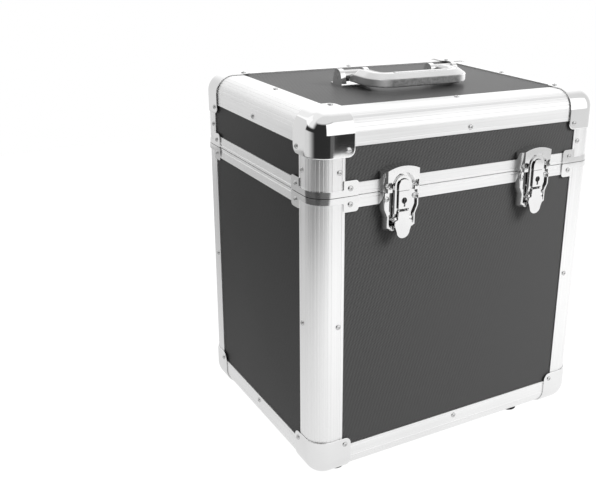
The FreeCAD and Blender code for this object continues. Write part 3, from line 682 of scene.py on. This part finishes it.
def clamp_heights(s):
    """Lowest and highest point of the clamp's strip at a distance from its end."""
    low = 0.0
    if s < clamp_foot_round:
        low = clamp_foot_round - arc_height(clamp_foot_round, clamp_foot_round - s)
    if s < clamp_tip_round:
        high = clamp_ear_height - clamp_tip_round + arc_height(clamp_tip_round, clamp_tip_round - s)
    elif s < clamp_ear_width - clamp_shoulder_round:
        high = clamp_ear_height
    elif s < clamp_ear_width:
        over = s - clamp_ear_width + clamp_shoulder_round
        high = clamp_ear_height - clamp_shoulder_round + arc_height(clamp_shoulder_round, over)
    elif s < clamp_ear_width + clamp_inner_round:
        over = clamp_ear_width + clamp_inner_round - s
        high = clamp_band + clamp_inner_round - arc_height(clamp_inner_round, over)
    else:
        high = clamp_band
    return low, high


def clamp_marks(flat):
    """Distances from the clamp's end up to its bend, close together where its outline is round."""
    tip_steps = 8
    shoulder_steps = 6
    inner_steps = 5
    quarter = math.pi / 2
    shoulder = clamp_ear_width - clamp_shoulder_round
    marks = [clamp_tip_round * (1 - math.cos(quarter * i / tip_steps)) for i in range(tip_steps + 1)]
    for i in range(shoulder_steps):
        marks.append(shoulder + clamp_shoulder_round * math.sin(quarter * i / shoulder_steps))
    for i in range(inner_steps + 1):
        marks.append(clamp_ear_width + clamp_inner_round * (1 - math.cos(quarter * i / inner_steps)))
    return marks + [flat - clamp_bend_margin, flat]


def clamp_strip():
    """The strip that wraps a post, at a corner that opens along +X, +Y and +Z."""
    bend_steps = 12
    flat = clamp_reach - edge_radius
    arc = edge_radius * math.pi / 2
    whole = 2 * flat + arc
    half = clamp_marks(flat) + [flat + arc / 2 * i / bend_steps for i in range(1, bend_steps + 1)]
    marks = half + [whole - s for s in reversed(half[:-1])]
    bm = bmesh.new()
    shells = []
    for outset in (clamp_thickness, 0.0):
        columns = []
        for s in marks:
            near = min(s, whole - s)
            if near <= flat:
                point = (clamp_reach - near, -outset)
            else:
                point = round_point((near - flat) / edge_radius, edge_radius + outset)
            if s > whole / 2:
                point = (point[1], point[0])
            columns.append([bm.verts.new((*point, z)) for z in clamp_heights(near)])
        for a, b in zip(columns, columns[1:]):
            bm.faces.new((a[0], b[0], b[1], a[1]))
        shells.append(columns)
    outside, inside = shells
    for k in range(2):
        for i in range(len(marks) - 1):
            bm.faces.new((outside[i][k], outside[i + 1][k], inside[i + 1][k], inside[i][k]))
    for i in (0, -1):
        bm.faces.new((outside[i][0], outside[i][1], inside[i][1], inside[i][0]))
    bmesh.ops.remove_doubles(bm, verts=bm.verts, dist=outline_weld)
    bmesh.ops.recalc_face_normals(bm, faces=bm.faces)
    return bm


def rim_clamps():
    """The four clamps below the split and the four above it."""
    for part, z, up in (("base", base_edge, -1), ("lid", lid_edge, 1)):
        straps = [at_corner(clamp_strip(), sx, sy, z, up) for sx, sy in corners.values()]
        finished(part + "_rim_clamps", joined(straps), sharp_angle=50.0)


# Rivets

def islands(bm):
    """The separate solids of a shape, as lists of points."""
    known = set()
    found = []
    for start in bm.verts:
        if start in known:
            continue
        known.add(start)
        stack = [start]
        group = []
        while stack:
            vert = stack.pop()
            group.append(vert.co.copy())
            for edge in vert.link_edges:
                other = edge.other_vert(vert)
                if other not in known:
                    known.add(other)
                    stack.append(other)
        found.append(group)
    return found


def rivet_profile():
    """Half outline of a head: a short wall, a dome and a small hollow in its middle."""
    profile = [(0.0, 0.0), (rivet_radius_m, 0.0)]
    for rise in range(0, 61, 15):
        angle = math.radians(rise)
        height_share = rivet_wall_share + (1 - rivet_wall_share) * math.sin(angle)
        profile.append((rivet_radius_m * math.cos(angle), rivet_height_m * height_share))
    for radius_share, height_share in hollow_shares:
        profile.append((hollow_radius_m * radius_share, rivet_height_m * height_share))
    return profile


def seat_of(points):
    """Where a plain head sits, and its direction: along its shortest side, away from the middle."""
    low = Vector([min(p[k] for p in points) for k in range(3)])
    high = Vector([max(p[k] for p in points) for k in range(3)])
    axis = min(range(3), key=lambda k: high[k] - low[k])
    faces_up = low[axis] + high[axis] > 0
    outward = Vector((0.0, 0.0, 0.0))
    outward[axis] = 1.0 if faces_up else -1.0
    seat = (low + high) / 2
    seat[axis] = low[axis] if faces_up else high[axis]
    return seat, outward


def rivets():
    """A domed head in the place of each plain one."""
    for node in ("base_rivets", "lid_rivets"):
        source = bmesh.new()
        source.from_mesh(frame["nodes"][node].data)
        bmesh.ops.remove_doubles(source, verts=source.verts, dist=weld_m)
        heads = [lathe(rivet_profile(), *seat_of(points), sides=20) for points in islands(source)]
        source.free()
        finished(node, joined(heads), sharp_angle=40.0)


# Pieces that keep their own solid, with their edges eased

def eased_pieces():
    for side in ("left", "right"):
        refined(f"{side}_latch_keeper", keeper_ease)
        refined(f"{side}_latch_plate", plate_ease)
        refined(f"{side}_latch_lever", lever_ease)
        refined(f"{side}_latch_bail", bail_ease)
        refined(f"handle_{side}_bracket", bracket_ease)
    for part in ("base", "lid"):
        refined(part + "_rim", rim_ease)
        refined(part + "_hinge_leaves", leaf_ease)
        lining = refined(part + "_lining", lining_ease)
    refined("handle_insert", strip_ease)
    refined("base_feet", foot_ease)


# Handle grip

def rounded(corner_points):
    """A closed outline from (x, y, rounding) corners."""
    places = [Vector(point[:2]) for point in corner_points]
    roundings = [point[2] for point in corner_points]
    reach_share = 0.45
    steps = 4
    outline = []
    for i, here in enumerate(places):
        if not roundings[i]:
            outline.append(here)
            continue
        before = places[i - 1] - here
        after = places[(i + 1) % len(places)] - here
        cut = min(roundings[i], before.length * reach_share, after.length * reach_share)
        start = here + before.normalized() * cut
        end = here + after.normalized() * cut
        for k in range(steps + 1):
            t = k / steps
            outline.append(start * (1 - t) ** 2 + here * 2 * t * (1 - t) + end * t ** 2)
    return outline


def grip_section():
    """Outline across the bar, with a shallow groove for the strip along its crest."""
    groove_floor = grip_crest - groove_depth
    bed = grip_crest - bed_drop
    return rounded([
        (-grip_half_width, grip_bottom, grip_round),
        (grip_half_width, grip_bottom, grip_round),
        (grip_half_width, grip_side_top - shoulder_drop, shoulder_low_round),
        (grip_half_width - shoulder_width, grip_side_top + shoulder_drop, shoulder_high_round),
        (crest_front, grip_crest - crest_front_drop, grip_round),
        (groove_front + groove_lip, grip_crest, groove_round),
        (groove_front, groove_floor, 0.0),
        (groove_front - groove_floor_width, groove_floor, 0.0),
        (groove_front - bed_inset, bed, groove_round),
        (groove_back + bed_inset, bed, groove_round),
        (groove_back + groove_floor_width, groove_floor, 0.0),
        (groove_back, groove_floor, 0.0),
        (groove_back - groove_lip, grip_crest, groove_round),
        (crest_back, grip_crest, crest_back_round),
        (-grip_half_width, grip_crest - crest_back_drop, grip_round),
    ])


def grip_path():
    """The grip's way from the left pivot to the right one, as (place, outward, height share)."""
    bend_steps = 24
    middle = Vector((grip_half_span - grip_bend_radius, grip_bend_radius - grip_reach, case_top))
    right_half = []
    for i in range(bend_steps + 1):
        angle = math.pi / 2 * i / bend_steps
        outward = Vector((math.sin(angle), -math.cos(angle), 0.0))
        right_half.append((middle + outward * grip_bend_radius, outward, 1.0))
    sideways = Vector((1.0, 0.0, 0.0))
    for distance, share in arm_height_shares:
        right_half.append((Vector((grip_half_span, -distance, case_top)), sideways, share))
    flip = Matrix.Diagonal((-1.0, 1.0, 1.0))
    left_half = [(flip @ place, flip @ outward, share) for place, outward, share in reversed(right_half)]
    return left_half + right_half


def swept(section, path):
    """A closed section carried along a path, lower where the height share is smaller."""
    bm = bmesh.new()
    rings = []
    for place, outward, share in path:
        ring = []
        for out, z in section:
            height = grip_bottom + (z - grip_bottom) * share
            ring.append(bm.verts.new(place + outward * out + Vector((0.0, 0.0, height))))
        rings.append(ring)
    for first, second in zip(rings, rings[1:]):
        for i in range(len(section)):
            j = (i + 1) % len(section)
            bm.faces.new((first[i], first[j], second[j], second[i]))
    bm.faces.new(rings[0])
    bm.faces.new(rings[-1])
    return bm


def barrel(sign):
    """The round end of an arm, on the axis of its pivot."""
    half = barrel_half * mm
    radius = barrel_radius * mm
    ease = barrel_round * mm
    profile = [
        (0.0, -half), (radius - ease, -half), (radius, ease - half),
        (radius, half - ease), (radius - ease, half), (0.0, half),
    ]
    seat = (sign * bracket_middle * mm, 0.0, (case_top + pivot_height) * mm)
    return lathe(profile, seat, (1.0, 0.0, 0.0), sides=40)


def handle_grip():
    """The grip: grained sides, with a silver top and silver barrels."""
    bar = moved(swept(grip_section(), grip_path()), Matrix.Identity(4))
    shape = joined([bar, barrel(-1), barrel(1)])
    grip = finished("handle_grip", shape, sharp_angle=30.0, materials=[grained_grey, silver], weighted=True)
    top_level = (case_top + grip_side_top) * mm
    for face in grip.data.polygons:
        if face.center.z > top_level or abs(face.center.y) < barrel_radius * mm:
            face.material_index = 1


def plain_nodes():
    """Gives each node that still shows its own material."""
    for node, item in frame["nodes"].items():
        if item.hide_render:
            continue
        if not item.material_slots:
            item.data.materials.append(material_for(node))
        for material_slot in item.material_slots:
            material_slot.material = material_for(node)


posts()
long_edges()
ball_corners()
rim_clamps()
rivets()
eased_pieces()
handle_grip()
plain_nodes()


# Floor, with the shares in which its two slanting directions run along X and Y
floor_radius_m = 1.42
floor_drop_m = 0.0002
slant_x_share = 0.55
slant_y_share = 0.84


def pale_floor():
    """A white floor. In reflections it is brightest at the front right and fades at its left ends."""
    mesh = bpy.data.meshes.new("floor")
    bm = bmesh.new()
    bmesh.ops.create_circle(bm, cap_ends=True, segments=96, radius=floor_radius_m)
    bm.to_mesh(mesh)
    bm.free()
    floor = bpy.data.objects.new("floor", mesh)
    floor.location.z = -floor_drop_m
    scene.collection.objects.link(floor)
    surface = Surface("floor", level=0.03, roughness=0.9, Emission_Color=grey(1.0))
    parts = surface.axes()
    rightward = surface.product(parts["X"], slant_x_share)
    backward = surface.product(parts["Y"], slant_y_share)
    to_front_right = surface.math("SUBTRACT", rightward, backward)
    to_back_right = surface.total(rightward, backward)
    glow = surface.spread(to_front_right, start=-0.9, end=0.4, low=0.46)
    front_left_end = surface.spread(to_back_right, start=-0.95, end=-1.05, low=1.0, high=0.08)
    left_end = surface.spread(parts["X"], start=-0.8, end=-0.95, low=1.0, high=0.08)
    reflected = surface.product(glow, front_left_end, left_end)
    seen = surface.node("ShaderNodeLightPath").outputs["Is Camera Ray"]
    surface.link(surface.largest(reflected, seen), surface.shader.inputs["Emission Strength"])
    mesh.materials.append(surface.material)


pale_floor()

# Brightness of the studio's parts in reflections
dark_level = 0.03
wall_level = 0.82
wall_right_gain = 0.5
front_panel_level = 1.35
left_panel_level = 1.2
ceiling_level = 0.86
top_back_level = 1.02
left_low_level = 0.78
front_low_level = 0.14


def studio_world():
    """White where it is seen directly. Reflections show a dark studio with pale walls and light panels."""
    world = bpy.data.worlds.new("studio")
    scene.world = world
    world.use_nodes = True
    world.node_tree.nodes.clear()
    room = Shading(world.node_tree, "Generated")
    parts = room.axes()
    east = parts["X"]
    north = parts["Y"]
    height = parts["Z"]
    # The bearing is 0 straight in front of the case, grows toward its right and is half a turn behind it
    bearing = room.math("ARCTAN2", east, room.product(north, -1.0))

    def rise(value, start, end):
        return room.spread(value, start, end, smooth=True)

    def turned_past(start, end):
        return rise(bearing, math.radians(start), math.radians(end))

    def sector(start, end, soft):
        """One between two bearings in degrees."""
        return room.band(bearing, math.radians(start), math.radians(end), math.radians(soft))

    wall = room.largest(turned_past(34, 40), room.rest(turned_past(-136, -126)))
    right_side = room.product(rise(east, -0.3, 0.2), rise(north, -0.2, 0.4))
    wall_strength = room.total(wall_level, room.product(right_side, wall_right_gain))
    front_panel = room.product(sector(-14, 60, soft=2), room.band(height, -0.14, 0.72, soft=0.015))
    left_panel = room.product(sector(-165, -118, soft=4), room.band(height, 0.33, 0.75, soft=0.03))
    ceiling = rise(height, 0.66, 0.8)
    top_back = room.product(rise(north, -0.3, 0.12), rise(height, 0.24, 0.42))
    left_low = room.product(sector(-190, -92, soft=24), room.rest(rise(height, 0.0, 0.1)))
    front_low = room.product(sector(4, 26, soft=5), room.rest(rise(height, -0.1, 0.0)))
    level = room.largest(
        dark_level,
        room.product(wall, wall_strength),
        room.product(front_panel, front_panel_level),
        room.product(left_panel, left_panel_level),
        room.product(ceiling, ceiling_level),
        room.product(top_back, top_back_level),
        room.product(left_low, left_low_level),
        room.product(front_low, front_low_level),
    )
    reflected = room.node("ShaderNodeBackground", Color=grey(1.0))
    room.link(level, reflected.inputs["Strength"])
    backdrop = room.node("ShaderNodeBackground", Color=grey(1.0), Strength=1.0)
    mix = room.node("ShaderNodeMixShader")
    room.link(room.node("ShaderNodeLightPath").outputs["Is Camera Ray"], mix.inputs["Fac"])
    room.link(reflected.outputs["Background"], mix.inputs[1])
    room.link(backdrop.outputs["Background"], mix.inputs[2])
    room.link(mix.outputs["Shader"], room.node("ShaderNodeOutputWorld").inputs["Surface"])


studio_world()


# Lights

def softbox(name, place_m, target_m, size_m, watts):
    """A large soft light, which the shiny metal doesn't mirror."""
    light = bpy.data.lights.new(name, "AREA")
    light.shape = "RECTANGLE"
    light.size, light.size_y = size_m
    light.energy = watts
    lamp = bpy.data.objects.new(name, light)
    lamp.location = place_m
    lamp.rotation_mode = "QUATERNION"
    lamp.rotation_quaternion = (Vector(target_m) - Vector(place_m)).to_track_quat("-Z", "Y")
    lamp.visible_glossy = False
    scene.collection.objects.link(lamp)


softbox("front_right_light", place_m=(1.1, -1.3, 1.2), target_m=(0.0, 0.0, 0.2),
        size_m=(0.9, 0.9), watts=92.0)
softbox("top_light", place_m=(0.0, 0.2, 1.8), target_m=(0.0, 0.0, 0.3),
        size_m=(1.4, 1.2), watts=10.0)

# Camera: its lens and its middle in picture pixels, and its direction in radians
picture_width = 596.0
picture_height = 500.0
focal_pixels = 855.154
middle_x_pixels = 391.216
middle_y_pixels = 227.578
azimuth = -0.575
elevation = 0.332
roll = 0.031
camera_place_m = (-0.520946, -0.800265, 0.541959)


def place_camera():
    """The camera at the photograph's viewing angle, with the case in its right half."""
    level_back = Vector((math.sin(azimuth), -math.cos(azimuth), 0.0))
    back = level_back * math.cos(elevation) + Vector((0.0, 0.0, math.sin(elevation)))
    right = Vector((math.cos(azimuth), math.sin(azimuth), 0.0))
    up = back.cross(right)
    rolled_right = right * math.cos(roll) + up * math.sin(roll)
    rolled_up = up * math.cos(roll) - right * math.sin(roll)
    data = bpy.data.cameras.new("camera")
    data.sensor_fit = "HORIZONTAL"
    data.lens = focal_pixels * data.sensor_width / picture_width
    data.shift_x = 0.5 - middle_x_pixels / picture_width
    data.shift_y = (middle_y_pixels - picture_height / 2) / picture_width
    camera = bpy.data.objects.new("camera", data)
    camera.matrix_world = axes_matrix(camera_place_m, rolled_right, rolled_up, back)
    scene.collection.objects.link(camera)
    scene.camera = camera


place_camera()
scene.view_settings.view_transform = "Standard"

bpy.context.view_layer.update()
